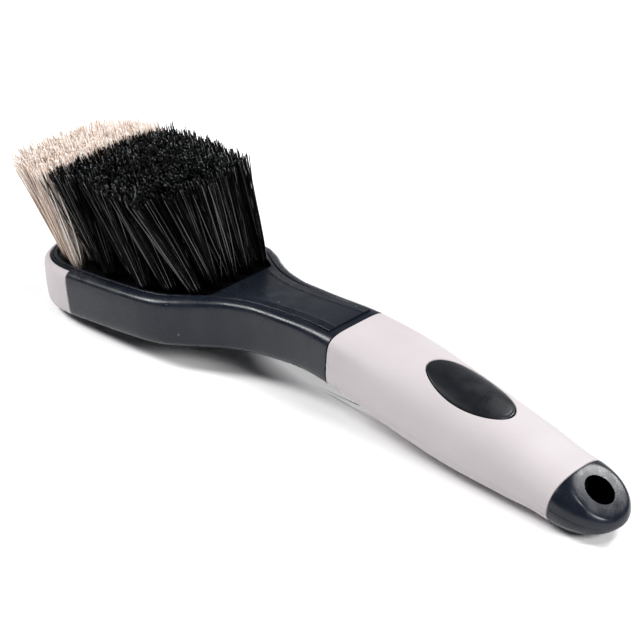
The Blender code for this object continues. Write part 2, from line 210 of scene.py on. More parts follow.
# ---------------------------------------------------------------- where the brush lies in the frame
mount = [m for m in frame["record"]["mounts"] if m["name"] == "back_face"][0]
axis = mount.get("axis") or mount.get("dir")
TILT = math.atan2(axis[0], -axis[2])
TURN = np.array([[math.cos(TILT), 0.0, -math.sin(TILT)],
                 [0.0, 1.0, 0.0],
                 [math.sin(TILT), 0.0, math.cos(TILT)]])
under = place(BACK_FACE_AT, 0.0, -half_thickness(BACK_FACE_AT)) * MM
SHIFT = np.array(mount["pos_m"]) - TURN @ under


def in_frame(points):
    """Head axes in millimetres to the frame in metres. Nothing goes below the floor it stands on."""
    out = np.asarray(points) * MM @ TURN.T + SHIFT
    out[..., 2] = np.maximum(out[..., 2], 0.0)
    return out


# ---------------------------------------------------------------- mesh building
class Skin:
    """Collects grids of points, in the head's axes, and makes one welded mesh of them."""

    def __init__(self):
        self.points = []
        self.faces = []
        self.count = 0

    def grid(self, points, round_rows=False, round_columns=False):
        """Quads between the points of an (n, m, 3) array."""
        n, m = points.shape[:2]
        index = np.arange(n * m).reshape(n, m) + self.count
        if round_rows:
            index = np.vstack([index, index[:1]])
        if round_columns:
            index = np.hstack([index, index[:, :1]])
        self.points.append(points.reshape(-1, 3))
        self.count += n * m
        quads = np.stack([index[:-1, :-1], index[1:, :-1], index[1:, 1:], index[:-1, 1:]], axis=-1)
        self.faces += [tuple(q) for q in quads.reshape(-1, 4)]

    def face(self, points):
        """One flat face round the points of an (n, 3) array."""
        n = len(points)
        self.points.append(np.asarray(points))
        self.faces.append(tuple(range(self.count, self.count + n)))
        self.count += n

    def make(self, name):
        """Object with the collected faces, welded, smooth, and sharp at its edges."""
        mesh = bpy.data.meshes.new(name)
        mesh.from_pydata(in_frame(np.vstack(self.points)).tolist(), [], self.faces)
        bm = bmesh.new()
        bm.from_mesh(mesh)
        bmesh.ops.remove_doubles(bm, verts=bm.verts, dist=WELD * MM)
        bmesh.ops.dissolve_degenerate(bm, edges=bm.edges, dist=0.5 * WELD * MM)
        bmesh.ops.recalc_face_normals(bm, faces=bm.faces)
        bm.to_mesh(mesh)
        bm.free()
        obj = bpy.data.objects.new(name, mesh)
        bpy.context.collection.objects.link(obj)
        mesh.shade_smooth()
        mesh.set_sharp_from_angle(angle=math.radians(SHARP_ANGLE))
        return obj


def carve(obj, tool):
    """Cuts the tool out of obj and removes the tool."""
    modifier = obj.modifiers.new("cut", "BOOLEAN")
    modifier.operation = "DIFFERENCE"
    modifier.solver = "EXACT"
    modifier.object = tool
    graph = bpy.context.evaluated_depsgraph_get()
    done = bpy.data.meshes.new_from_object(obj.evaluated_get(graph))
    obj.modifiers.clear()
    old = obj.data
    obj.data = done
    done.name = obj.name
    bpy.data.meshes.remove(old)
    spent = tool.data
    bpy.data.objects.remove(tool, do_unlink=True)
    bpy.data.meshes.remove(spent)
    done.set_sharp_from_angle(angle=math.radians(SHARP_ANGLE))


ACROSS = 9                     # points of a face that runs from one side to the other
PLATE_ACROSS = 17              # the same where the plate is seen


def mirror_across(right, columns):
    """Rows of points from each point of an (n, 3) line to its mirror image in Y."""
    t = np.linspace(0.0, 1.0, columns)[None, :, None]
    left = right * np.array([1.0, -1.0, 1.0])
    return right[:, None, :] * (1.0 - t) + left[:, None, :] * t


# ---------------------------------------------------------------- plan outline of head and neck
STRAIGHT_ACROSS = (128.0, 146.0)   # where the inward direction turns from square to straight across


def outline(end, extra=()):
    """Half outline from the nose tip back to end, as rows of s, y, inward s and inward y.

    The places in extra get a point of their own. Behind the waist, inward is straight across."""
    turns = np.linspace(0.0, 0.5 * math.pi, 400)
    nose_s = NOSE_LENGTH * (1.0 - np.cos(turns) ** (2.0 / NOSE_POWER))
    nose_y = HALF_WIDTHS[0][1] * np.sin(turns) ** (2.0 / NOSE_POWER)
    side_s = np.arange(NOSE_LENGTH + 0.2, end + 8.0, 0.2)
    s = np.concatenate([nose_s, side_s])
    y = np.concatenate([nose_y, half_width(side_s)])
    gone = np.concatenate([[0.0], np.cumsum(np.hypot(np.diff(s), np.diff(y)))])
    last = np.interp(end, s, gone)
    at = np.linspace(0.0, last, int(last / OUTLINE_STEP) + 1)
    at = np.unique(np.concatenate([at] + [[np.interp(e, s, gone)] for e in extra]))
    tangent_s = np.gradient(s, gone)
    tangent_y = np.gradient(y, gone)
    ts = np.interp(at, gone, tangent_s)
    ty = np.interp(at, gone, tangent_y)
    size = np.hypot(ts, ty)
    s, y = np.interp(at, gone, s), np.interp(at, gone, y)
    inward_s = ty / size * (1.0 - smooth(*STRAIGHT_ACROSS, s))
    inward_y = -np.sqrt(1.0 - inward_s ** 2)
    inward_y[0], inward_s[0] = 0.0, 1.0
    return s, y, inward_s, inward_y


# Rows of the side profile from below to above: by angle in degrees, by share of the half thickness, and by
# share of the parting line's half width. The rows of the upper edge follow, evenly in angle.
EDGE_ANGLE = 16.0
UPPER_EDGE_ROWS = 24
LOWER = [("angle", a) for a in np.linspace(-86.0, -EDGE_ANGLE, 26)]
WALL = [("height", h) for h in (-0.6, -0.45, -0.3, -0.15, -0.06)]
PARTING = [("flash", f) for f in (-2.0, -1.0, 0.0, 1.0, 2.0)]
UPPER = [("height", h) for h in (0.06, 0.15, 0.3, 0.45, 0.6)]
ROWS = LOWER + WALL + PARTING + UPPER


def side_profile(s, shoulder, flash=FLASH):
    """(inset, height) of every row for stations s, up to where the inset reaches shoulder.

    The profile is the section's superellipse. Round the nose the plan width falls to nothing, so there
    the section of the full width is used."""
    power = ease(SQUARENESS, s)
    flat = ease(FLATTENING, s)
    half_w = half_width(np.maximum(s, NOSE_LENGTH))
    half_h = half_thickness(s)
    insets, heights = [], []
    for kind, value in ROWS:
        if kind == "angle":
            angle = math.radians(value)
            inset = half_w * (1.0 - abs(math.cos(angle)) ** (2.0 / power))
            height = -np.minimum(abs(math.sin(angle)) ** (2.0 / power), flat) / flat * half_h
        else:
            share = value if kind == "height" else value * FLASH_HALF / half_h
            height = share * half_h
            inset = half_w * (1.0 - (1.0 - np.abs(share * flat) ** power) ** (1.0 / power))
            if kind == "flash" and value == 0.0:
                inset = inset - flash
        insets.append(inset)
        heights.append(height)
    top = np.arccos(np.clip(1.0 - shoulder / half_w, 0.0, 1.0) ** (power / 2.0))
    first = math.radians(EDGE_ANGLE)
    for share in np.linspace(0.0, 1.0, UPPER_EDGE_ROWS):
        angle = first + (top - first) * share
        insets.append(half_w * (1.0 - np.cos(angle) ** (2.0 / power)))
        heights.append(np.minimum(np.sin(angle) ** (2.0 / power), flat) / flat * half_h)
    return np.array(insets), np.array(heights)


def set_in(line, inset):
    """Plan point of every outline point moved in by inset: (s, y)."""
    s, y, inward_s, inward_y = line
    return s + inward_s * inset, y + inward_y * inset


def strip(line, insets, heights):
    """Points of profile rows swept along the half outline, as (rows, points, 3)."""
    s, y = set_in(line, insets)
    return place(s, y, heights)


def both_sides(points):
    """A half strip from the nose back, joined with its mirror image into one that runs all round."""
    left = points * np.array([1.0, -1.0, 1.0])
    return np.concatenate([left[:, ::-1], points[:, 1:]], axis=1)


def fillet_rows(inset, height, radius, steps=4):
    """Rows that turn from level, radius before inset, to straight down at inset."""
    angles = np.linspace(0.0, 0.5 * math.pi, steps + 1)[1:]
    return [(inset - radius + radius * math.sin(a), height - radius * (1.0 - math.cos(a))) for a in angles]


def make_body():
    """Head tray and neck with the lip round the plate, the pocket under it, and the tang."""
    step_at = BUMPER_END + GAP
    pocket_end = PLATE_END + GAP
    soft = [0.0, 0.06, 0.16, 0.3]
    line = outline(GRIP_START, [step_at + a for a in soft] + [GRIP_START - a for a in soft] + [pocket_end])
    s = line[0]
    before = int(np.searchsorted(s, step_at - 1e-6))
    doubled = np.insert(np.arange(len(s)), before, before)
    line = tuple(part[doubled] for part in line)
    s = line[0]
    insets, heights = side_profile(s, LIP_INSET - EDGE)
    least = EDGE * (1.0 - smooth(0.0, 0.3, s - step_at)) + EDGE * (1.0 - smooth(0.0, 0.3, GRIP_START - s))
    least = np.where(np.arange(len(s)) <= before, BUMPER_WALL + GAP, least)
    lip = heights[-1]
    insets = np.maximum(insets, least)
    skin = Skin()
    outer = strip(line, insets, heights)
    skin.grid(both_sides(outer))
    # lip edge and pocket wall, as far back as the pocket goes
    last = int(np.searchsorted(s, pocket_end - 1e-6)) + 1
    lip = lip[:last]
    inner = [(np.full(last, LIP_INSET - EDGE), lip)]
    inner += [(np.full(last, i), h) for i, h in fillet_rows(LIP_INSET, lip, EDGE)]
    floor = half_thickness(s[:last]) - PLATE_THICKNESS - GAP
    inner += [(np.full(last, LIP_INSET), lip * (1.0 - t) + floor * t) for t in (0.3, 0.65, 1.0)]
    short = tuple(part[:last] for part in line)
    wall = strip(short, np.array([i for i, _ in inner]), np.array([h for _, h in inner]))
    skin.grid(both_sides(wall))
    skin.grid(mirror_across(wall[-1], ACROSS))
    skin.grid(mirror_across(wall[:, -1], ACROSS))
    skin.grid(mirror_across(outer[-1, last - 1:], ACROSS))
    skin.grid(mirror_across(outer[0], ACROSS))
    # tang: the end section again and again, drawn in by the sleeve's wall
    ring_y = insets_to_y(line, insets[:, -1])
    ring_up = heights[:, -1]
    across = np.linspace(1.0, -1.0, ACROSS)[1:-1]
    level = np.ones(len(across))
    ring_y = np.concatenate([ring_y, ring_y[-1] * across, -ring_y[::-1], -ring_y[0] * across])
    ring_up = np.concatenate([ring_up, ring_up[-1] * level, ring_up[::-1], ring_up[0] * level])
    end_w, end_h = half_width(GRIP_START), half_thickness(GRIP_START)
    rings = [place(GRIP_START, ring_y, ring_up)]
    for at in np.linspace(GRIP_START, GRIP_END - GAP, 40):
        share_w = (half_width(at) - SLEEVE_WALL - GAP) / end_w
        share_h = (half_thickness(at) - SLEEVE_WALL - GAP) / end_h
        rings.append(place(at, ring_y * share_w, ring_up * share_h))
    skin.grid(np.array(rings), round_columns=True)
    skin.face(rings[-1])
    return skin.make("body_shell")


def insets_to_y(line, inset):
    """Half widths of the last outline point moved in by each inset."""
    return line[1][-1] + line[3][-1] * inset


def make_bumper():
    """Soft band round the nose, flush with the body, its edges rounded."""
    soft = [0.0, 0.05, 0.15, 0.3, 0.5]
    line = outline(BUMPER_END, [BUMPER_END - a for a in soft])
    s = line[0]
    insets, heights = side_profile(s, BUMPER_WALL - SOFT_EDGE)
    start = int(np.argmin(np.abs(insets[:len(LOWER), 0] - (BUMPER_WALL - SOFT_EDGE))))
    insets, heights = insets[start:], heights[start:]
    insets[0] = BUMPER_WALL - SOFT_EDGE
    from_edge = 1.0 - np.clip(BUMPER_END - s, 0, SOFT_EDGE) / SOFT_EDGE
    least = SOFT_EDGE * (1.0 - np.sqrt(np.clip(1.0 - from_edge ** 2, 0, 1)))
    insets = np.maximum(insets, least)
    top, low = heights[-1], heights[0]
    rows = [(np.full(len(s), i), h) for i, h in fillet_rows(BUMPER_WALL, top, SOFT_EDGE)]
    under_rows = [(np.full(len(s), i), -h) for i, h in fillet_rows(BUMPER_WALL, -low, SOFT_EDGE)][::-1]
    middle = [(np.full(len(s), BUMPER_WALL), top * (1.0 - t) + low * t) for t in (0.25, 0.5, 0.75)]
    inner = rows + middle + under_rows
    insets = np.vstack([insets] + [i[None] for i, _ in inner])
    heights = np.vstack([heights] + [h[None] for _, h in inner])
    skin = Skin()
    band = both_sides(strip(line, insets, heights))
    skin.grid(band, round_rows=True)
    skin.face(band[:, 0])
    skin.face(band[:, -1])
    return skin.make("nose_bumper_skin")


def full_turn(points):
    """Angles of evenly spaced points round a circle."""
    return np.linspace(0.0, 2.0 * math.pi, points, endpoint=False)


def uneven(s, rate):
    """Smooth irregular share between 0 and 1 along the outline."""
    return 0.5 + 0.5 * np.sin(2.3 * rate * s + 1.7 * np.sin(rate * s))


# How the wall of the bristle field drops to its floor: inset, and share of the field's depth
FIELD_WALL = [(0.0, 0.0), (0.06, 0.02), (0.12, 0.07), (0.17, 0.16), (0.2, 0.3), (0.22, 0.7), (0.26, 0.9),
              (0.34, 0.97), (0.5, 1.0)]


def make_plate():
    """Plate with a rounded edge and the sunk field that the bristles stand in."""
    line = outline(PLATE_END, [])
    s = line[0]
    high = half_thickness(s)
    low = high - PLATE_THICKNESS
    rows = [(np.full(len(s), PLATE_INSET), low * (1 - t) + high * t) for t in (0.0, 0.5, 0.9)]
    rows += [(np.full(len(s), 2.0 * PLATE_INSET - i), h)
             for i, h in fillet_rows(PLATE_INSET, high, EDGE)][::-1]
    rows += [(np.full(len(s), PLATE_INSET + EDGE), high)]
    field = np.full(len(s), PLATE_INSET + FIELD_INSET)
    at = s + line[2] * field
    into = np.clip((at - (FIELD_END - FIELD_CORNER)) / FIELD_CORNER, 0.0, 1.0)
    field = field + FIELD_CORNER * (1.0 - np.sqrt(1.0 - into ** 2))
    last = int(np.searchsorted(at, FIELD_END)) + 1
    bead = BEAD_HEIGHT * (0.3 + 0.7 * uneven(s, 1.7) * uneven(s, 0.63))
    rows += [(field - BEAD_HALF * (1.0 - c), high + bead * math.cos(0.5 * math.pi * c) ** 2)
             for c in (-1.0, -0.5, 0.0, 0.5)]
    rows += [(field, high)]
    insets = np.array([i for i, _ in rows])
    heights = np.array([h for _, h in rows])
    skin = Skin()
    edge = strip(line, insets, heights)
    skin.grid(both_sides(edge))
    short = tuple(part[:last] for part in line)
    wall = strip(short, np.array([field[:last] + i for i, _ in FIELD_WALL]),
                 np.array([high[:last] - FIELD_DEPTH * d for _, d in FIELD_WALL]))
    skin.grid(both_sides(wall))
    skin.grid(mirror_across(wall[-1], ACROSS))
    skin.grid(mirror_across(wall[:, -1], ACROSS))
    skin.grid(mirror_across(edge[-1, last - 1:], PLATE_ACROSS))
    skin.grid(mirror_across(edge[:, -1], PLATE_ACROSS))
    skin.grid(mirror_across(edge[0], ACROSS))
    plate = skin.make("bristle_plate_skin")
    holes = Skin()
    top = HALF_THICKNESSES[0][1]
    turns = full_turn(24)
    for _, foot, _, _ in tufts():
        x = foot[0] + (TUFT_ROOT_RADIUS + GAP) * np.cos(turns)
        y = foot[1] + (TUFT_ROOT_RADIUS + GAP) * np.sin(turns)
        levels = (top - TUFT_SEAT - GAP, top + 1.0)
        rings = [np.stack([x, y, np.full(len(turns), z)], axis=-1) for z in levels]
        holes.grid(np.array(rings), round_columns=True)
        holes.face(rings[0])
        holes.face(rings[1])
    carve(plate, holes.make("tuft_holes"))
    return plate


TOP_ROW_SHARE = 0.985          # inset of a closed section's last row, as a share of the half width


def ring_section(s, inset, flash):
    """Closed sections of the outer shape at stations s, as (stations, points) arrays of y and height."""
    half_w = half_width(s)
    insets, heights = side_profile(s, half_w * TOP_ROW_SHARE, flash)
    y = np.maximum(half_w - insets - inset, 0.0)
    up = heights * (half_thickness(s) - inset) / half_thickness(s)
    return np.vstack([y, -y[::-1]]).T, np.vstack([up, up[::-1]]).T


def end_rounding(radius, steps=5):
    """(distance from the end, inset) pairs of a rounded edge, from the end inwards."""
    angles = np.linspace(0.0, 0.5 * math.pi, steps)
    return [(radius * (1.0 - math.cos(a)), radius * (1.0 - math.sin(a))) for a in angles]


def make_sleeve():
    """Soft tube with rounded ends; the window for the thumb pad has a rounded rim."""
    first, last = GRIP_START + GAP, GRIP_END
    rounding = end_rounding(SOFT_EDGE)
    stations = [(first + d, i) for d, i in rounding]
    stations += [(at, 0.0) for at in np.arange(first + 0.65, first + 3.3, 0.25)]
    stations += [(at, 0.0) for at in np.arange(first + 3.5, last - 0.6, 0.9)]
    stations += [(last - d, i) for d, i in rounding[::-1]]
    rings = [ring_at(at, inset, sleeve_flash(at - first, last - at)) for at, inset in stations]
    bore = [ring_at(at, SLEEVE_WALL, 0.0) for at in np.linspace(last, first, 30)]
    skin = Skin()
    skin.grid(np.array(rings + bore), round_rows=True, round_columns=True)
    sleeve = skin.make("grip_sleeve_skin")
    rim = oval_rings(SOFT_EDGE, GAP, PAD_SINK + 2.5)
    window = Skin()
    window.grid(np.array(rim), round_columns=True)
    window.face(rim[0])
    window.face(rim[-1])
    carve(sleeve, window.make("pad_window"))
    return sleeve


def sleeve_flash(from_front, from_rear):
    """Height of the sleeve's parting line: a nub at the front, a stronger line near both ends."""
    nub = SLEEVE_NUB * math.exp(-((from_front - 1.1) / 0.45) ** 2)
    front = SLEEVE_FLASH * (1.0 - smooth(2.0, 9.0, from_front))
    rear = SLEEVE_FLASH * (1.0 - smooth(3.0, 7.0, from_rear))
    return 0.4 * FLASH + nub + front + rear


def ring_at(at, inset, flash):
    """One closed section of the outer shape, in by inset."""
    y, up = ring_section(np.array([at]), inset, flash)
    return place(at, y[0], up[0])


def flare_steps(radius, above):
    """(rise, flare) pairs of a tool that rounds the rim it leaves by and goes on to above it."""
    steps = [(-radius + radius * math.sin(a), radius - radius * math.cos(a))
             for a in np.radians(FLARE_ANGLES)]
    return [(-radius, 0.0)] + steps + [(above, steps[-1][1])]


def oval_rings(radius, grow, depth):
    """Rings of a tool that cuts the pad's window and rounds its rim."""
    turns = full_turn(96)
    rings = []
    for rise, flare in [(-depth, 0.0)] + flare_steps(radius, 1.5):
        s = PAD_CENTRE + (PAD_HALF_LENGTH + grow + flare) * np.cos(turns)
        y = (PAD_HALF_WIDTH + grow + flare) * np.sin(turns)
        rings.append(place(s, y, surface_height(s, y) + rise))
    return rings


def make_pad():
    """Domed oval that follows the grip, with a fine bead round its edge."""
    turns = full_turn(96)
    profile = [(0.0, -PAD_SINK), (0.6, -PAD_SINK), (0.985, -PAD_SINK), (1.0, 0.15 - PAD_SINK), (1.0, -0.35),
               (0.995, -0.12), (0.985, 0.02), (0.972, 0.08), (0.958, 0.07), (0.945, 0.06)]
    profile += [(PAD_DOME_EDGE, PAD_BEAD)]
    profile += [(c, PAD_BEAD + (PAD_RISE - PAD_BEAD) * (1.0 - (c / PAD_DOME_EDGE) ** 2) ** 0.9)
                for c in (0.9, 0.85, 0.78, 0.7, 0.6, 0.5, 0.4, 0.3, 0.2, 0.1, 0.0)]
    rings = []
    for scale, rise in profile:
        s = PAD_CENTRE + PAD_HALF_LENGTH * scale * np.cos(turns)
        y = PAD_HALF_WIDTH * scale * np.sin(turns)
        rings.append(place(s, y, surface_height(s, y) + rise))
    skin = Skin()
    skin.grid(np.array(rings), round_columns=True)
    return skin.make("thumb_pad_skin")


def make_cap():
    """Rounded end with the sloping flat face and the hang hole, both with rounded edges."""
    first = GRIP_END + GAP
    rounding = end_rounding(EDGE)
    length = SPINE_LENGTH - CAP_ROUND_START
    stations = [(first + d, i) for d, i in rounding]
    stations += [(at, 0.0) for at in np.arange(first + 0.5, CAP_ROUND_START, 0.3)]
    stations += [(CAP_ROUND_START + length * math.sin(a), 0.0)
                 for a in np.linspace(0.0, 0.5 * math.pi, 110)[:-1]]
    slope = math.radians(RING_SLOPE)
    centre = place(HANG_HOLE_CENTRE, 0.0, RING_HEIGHT)
    normal = np.array([math.sin(slope), 0.0, math.cos(slope)])
    rings = []
    for at, inset in stations:
        y, up = ring_section(np.array([at]), inset, CAP_FLASH)
        ring = place(at, refine(y[0]), refine(up[0]))
        from_centre = ring - centre
        over = from_centre @ normal
        reach = np.sum(from_centre ** 2, axis=-1) - over ** 2
        over = over + (reach - FACE_REACH ** 2) / (2.0 * FACE_CROWN)
        drop = np.logaddexp(0.0, over / FACE_SOFTNESS) * FACE_SOFTNESS
        angle = float(bend(at))
        down = np.array([math.sin(angle), 0.0, math.cos(angle)])
        ring = ring - (drop / (down @ normal))[:, None] * down
        rings.append(ring)
    skin = Skin()
    skin.grid(np.array(rings), round_columns=True)
    skin.face(rings[0])
    skin.face(rings[-1])
    cap = skin.make("end_cap_skin")
    carve(cap, hole_tool())
    return cap


def refine(values):
    """Values round a closed section with one more between every two of them."""
    n = len(values)
    return np.interp(np.arange(0, n, 0.5), np.arange(n + 1), np.append(values, values[0]))


def hole_tool():
    """Round tool square to the spine that flares where it leaves the flat face."""
    angle = float(bend(HANG_HOLE_CENTRE))
    base = place(HANG_HOLE_CENTRE, 0.0, 0.0)
    along = np.array([math.cos(angle), 0.0, -math.sin(angle)])
    normal = np.array([math.sin(angle), 0.0, math.cos(angle)])
    slope = math.radians(RING_SLOPE)
    face = np.array([math.sin(slope), 0.0, math.cos(slope)])
    centre = place(HANG_HOLE_CENTRE, 0.0, RING_HEIGHT)
    turns = full_turn(80)
    rings = [circle(base, along, turns, HANG_HOLE_RADIUS) - normal * 20.0]
    for rise, flare in flare_steps(HOLE_ROUNDING, 3.0):
        flat = circle(base, along, turns, HANG_HOLE_RADIUS + flare)
        to_face = ((centre - flat) @ face) / (normal @ face)
        rings.append(flat + (to_face + rise)[:, None] * normal)
    skin = Skin()
    skin.grid(np.array(rings), round_columns=True)
    skin.face(rings[0])
    skin.face(rings[-1])
    return skin.make("hang_hole")


def circle(base, along, turns, radius):
    """Points round base, in the plane of along and Y."""
    across = np.array([0.0, 1.0, 0.0])
    return base + along * (radius * np.cos(turns))[:, None] + across * (radius * np.sin(turns))[:, None]


# ---------------------------------------------------------------- bristles
def tufts():
    """Name, foot, tip and colour of every tuft, row by row from the nose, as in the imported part."""
    found = []
    last_row = FIRST_ROW + ROW_PITCH * (len(TUFTS_IN_ROW) - 1)
    crown_centre = (FIRST_ROW + last_row) / 2.0
    for row, count in enumerate(TUFTS_IN_ROW):
        x = FIRST_ROW + ROW_PITCH * row
        rear = max(0.0, (x - REAR_START) / (last_row - REAR_START))
        shade = "pale" if row < PALE_ROWS else "black"
        for k in range(count):
            y = TUFT_PITCH * (k - (count - 1) / 2.0)
            away = ((x - crown_centre) / CROWN_LENGTH) ** 2 + (y / CROWN_WIDTH) ** 2
            height = TRIM_HEIGHT - TRIM_CROWN * away
            side = 2.0 * k / (count - 1) - 1.0
            tip_x = x * FAN_SPREAD_X + FAN_SHIFT_X - REAR_BOW * rear * side * side
            tip_y = TIP_ROW_HALVES[row] * side + REAR_LEAN * rear * rear
            tip = (tip_x, tip_y, HALF_THICKNESSES[0][1] + height)
            found.append(("tuft_%s_row%d_%d" % (shade, row + 1, k + 1), (x, y), tip, shade))
    return found


STRANDS = 125                  # in a tuft
STRAND_RADIUS = 0.23
STRAND_RADIUS_SHARES = (0.85, 1.12)
STRAND_SHARES = np.array([0.0, 0.16, 0.33, 0.5, 0.67, 0.84, 0.99, 1.0])   # where a strand has its rings
STRAND_SIDES = 4
GLOSSY_SHARE = 0.24            # of the black strands
GOLDEN_TURN = math.pi * (3.0 - math.sqrt(5.0))
FULL_CIRCLE = 6.28
FOOT_SPREAD = 2.35             # half of the area that a tuft's strands leave the plate in
FOOT_SCATTER = 0.05
FOOT_LIFT = 0.2                # of the strands over the bottom of their socket
TIP_REACH_X = 5.4              # half of the area that a tuft's tips fill
TIP_REACH_Y = 6.0              # the same across, for tips spaced up to TIP_SPACING
TIP_SPACING = 10.0
TIP_SCATTER = 0.8
TIP_TURN_SCATTER = 0.3
TIP_LIMIT_X = 7.5              # no tip gets further than this from the middle of its tuft's tips
TIP_LIMITS_Y = (-33.0, 31.5)
JAGGED = 0.85                  # unevenness of the trim
SHORT_SHARE = 0.12             # of the strands are shorter by SHORT_BY
SHORT_BY = 0.8
LOOSE_SHARE = 0.06             # of the strands are bowed by LOOSE_BOW, the others by BOW
LOOSE_BOW = 1.5
BOW = 0.4
LEAN_POWER = 1.1
CROWN_OVERHANG = 1.06          # how much wider than the CAD's crown the crown of the tips is
CROSSING = {                   # strands that lean out of their tuft: foot, middle and tip
    "tuft_black_row4_1": [((39.0, -22.5, 9.8), (31.0, -27.0, 26.0), (19.8, -31.0, 46.5)),
                          ((39.5, -21.5, 9.8), (33.0, -26.5, 25.0), (23.8, -31.0, 47.5))],
    "tuft_pale_row3_1": [((32.5, -25.5, 9.8), (34.0, -28.0, 26.0), (29.2, -30.5, 45.5))],
    "tuft_black_row6_1": [((60.0, -22.0, 9.8), (66.5, -28.0, 28.0), (65.0, -31.5, 47.0))],
    "tuft_black_row8_1": [((81.0, -22.0, 9.8), (79.0, -28.5, 30.0), (73.0, -31.5, 47.5))],
}


def make_tuft(name, foot, tip, order):
    """One tuft of separate bent strands, packed at the foot and fanned at the tips."""
    rng = np.random.default_rng(1000 + order)
    n = STRANDS
    turn = np.arange(n) * GOLDEN_TURN + rng.uniform(0.0, FULL_CIRCLE)
    radius = np.sqrt((np.arange(n) + 0.5) / n)
    spread = FOOT_SPREAD - STRAND_RADIUS
    foot_x = foot[0] + radius * np.cos(turn) * spread + rng.normal(0, FOOT_SCATTER, n)
    foot_y = foot[1] + radius * np.sin(turn) * spread + rng.normal(0, FOOT_SCATTER, n)
    turned = turn + rng.normal(0.0, TIP_TURN_SCATTER, n)
    tip_x = tip[0] + radius * np.cos(turned) * TIP_REACH_X + rng.normal(0, TIP_SCATTER, n)
    row = round((foot[0] - FIRST_ROW) / ROW_PITCH)
    spacing = 2.0 * TIP_ROW_HALVES[row] / (TUFTS_IN_ROW[row] - 1)
    reach_y = TIP_REACH_Y * max(1.0, spacing / TIP_SPACING)
    tip_y = tip[1] + radius * np.sin(turned) * reach_y + rng.normal(0, TIP_SCATTER, n)
    tip_x = tip[0] + soft_limit(tip_x - tip[0], TIP_LIMIT_X)
    tip_y = np.clip(tip_y, *TIP_LIMITS_Y)
    level = trim_height(tip_x, tip_y)
    tip_z = level + rng.normal(0.0, JAGGED, n) - SHORT_BY * (rng.uniform(0.0, 1.0, n) < SHORT_SHARE)
    foot_z = np.full(n, HALF_THICKNESSES[0][1] - TUFT_SEAT + FOOT_LIFT)
    start = np.stack([foot_x, foot_y, foot_z], axis=-1)
    end = np.stack([tip_x, tip_y, tip_z], axis=-1)
    bow_size = np.where(rng.uniform(0.0, 1.0, n) < LOOSE_SHARE, LOOSE_BOW, BOW)
    bow = np.stack([rng.normal(0, 1, n) * bow_size, rng.normal(0, 1, n) * bow_size, np.zeros(n)], axis=-1)
    t = STRAND_SHARES
    lean = np.stack([t ** LEAN_POWER, t ** LEAN_POWER, t], axis=-1)
    path = start[:, None] + (end - start)[:, None] * lean[None]
    path += bow[:, None] * np.sin(np.pi * t)[None, :, None]
    for strand, points in enumerate(CROSSING.get(name, [])):
        path[strand] = curve_through(points)
    radii = STRAND_RADIUS * rng.uniform(*STRAND_RADIUS_SHARES, n)
    return tubes(name + "_strands", path, radii, rng.uniform(0.0, FULL_CIRCLE, n), order, "black" in name)


def curve_through(points):
    """Strand path from a low point past a middle one to a high one."""
    low, middle, high = np.array(points)
    t = STRAND_SHARES[:, None]
    return low * (1 - t) ** 2 + (4 * middle - low - high) * (1 - t) * t + high * t ** 2


def trim_height(x, y):
    """Level of the trimmed tips over the head's middle, for tips at x, y."""
    middle = FIRST_ROW + ROW_PITCH * (len(TUFTS_IN_ROW) - 1) / 2.0
    along = ((x - FAN_SHIFT_X) / FAN_SPREAD_X - middle) / CROWN_LENGTH
    across = y / (CROWN_WIDTH * CROWN_OVERHANG)
    return HALF_THICKNESSES[0][1] + TRIM_HEIGHT - TRIM_CROWN * (along ** 2 + across ** 2)


def soft_limit(value, limit):
    """Value that bends towards the limit and never passes it."""
    return limit * np.tanh(value / limit)


def tubes(name, path, radius, twist, order, dark):
    """Thin tubes along (n, steps, 3) paths as one mesh, each strand with a number of its own.

    Some of the dark strands get the tuft's second, glossy material."""
    n, steps = path.shape[:2]
    sides = STRAND_SIDES
    along = np.gradient(path, axis=1)
    along /= np.linalg.norm(along, axis=-1, keepdims=True)
    side = np.cross(along, np.array([0.31, 0.95, 0.05]))      # any direction that no strand runs in
    side /= np.linalg.norm(side, axis=-1, keepdims=True)
    other = np.cross(along, side)
    taper = np.interp(np.arange(steps), [0, steps - 3, steps - 2, steps - 1], [1.0, 1.0, 0.96, 0.8])
    points = []
    for k in range(sides):
        angle = twist + 2.0 * math.pi * k / sides
        arm = side * np.cos(angle)[:, None, None] + other * np.sin(angle)[:, None, None]
        points.append(path + arm * (radius[:, None] * taper[None])[..., None])
    points = np.stack(points, axis=2)
    verts = in_frame(points.reshape(-1, 3))
    base = np.arange(n * steps * sides).reshape(n, steps, sides)
    quads = []
    for k in range(sides):
        j = (k + 1) % sides
        quads.append(np.stack([base[:, :-1, k], base[:, :-1, j], base[:, 1:, j], base[:, 1:, k]], axis=-1))
    faces = np.concatenate([q.reshape(-1, 4) for q in quads]).tolist()
    faces += base[:, -1, :].tolist() + base[:, 0, ::-1].tolist()
    mesh = bpy.data.meshes.new(name)
    mesh.from_pydata(verts.tolist(), [], faces)
    shade = np.random.default_rng(50 + order).uniform(0, 1, n)
    number = mesh.attributes.new("strand", "FLOAT", "POINT")
    number.data.foreach_set("value", np.repeat(shade, steps * sides))
    owner = np.concatenate([np.repeat(np.arange(n), steps - 1)] * sides + [np.arange(n)] * 2)
    glossy = (shade > 1.0 - GLOSSY_SHARE) & dark
    mesh.polygons.foreach_set("material_index", glossy[owner].astype(np.int32))
    cut_end = mesh.attributes.new("cut_end", "FLOAT", "POINT")
    cut_end.data.foreach_set("value", np.tile(np.repeat([0.0] * (steps - 1) + [1.0], sides), n))
    mesh.shade_smooth()
    obj = bpy.data.objects.new(name, mesh)
    bpy.context.collection.objects.link(obj)
    return obj


# ---------------------------------------------------------------- materials
SHEEN = 0.29                   # specular level of the hard plastic
DUST = (0.35, 0.36, 0.38)


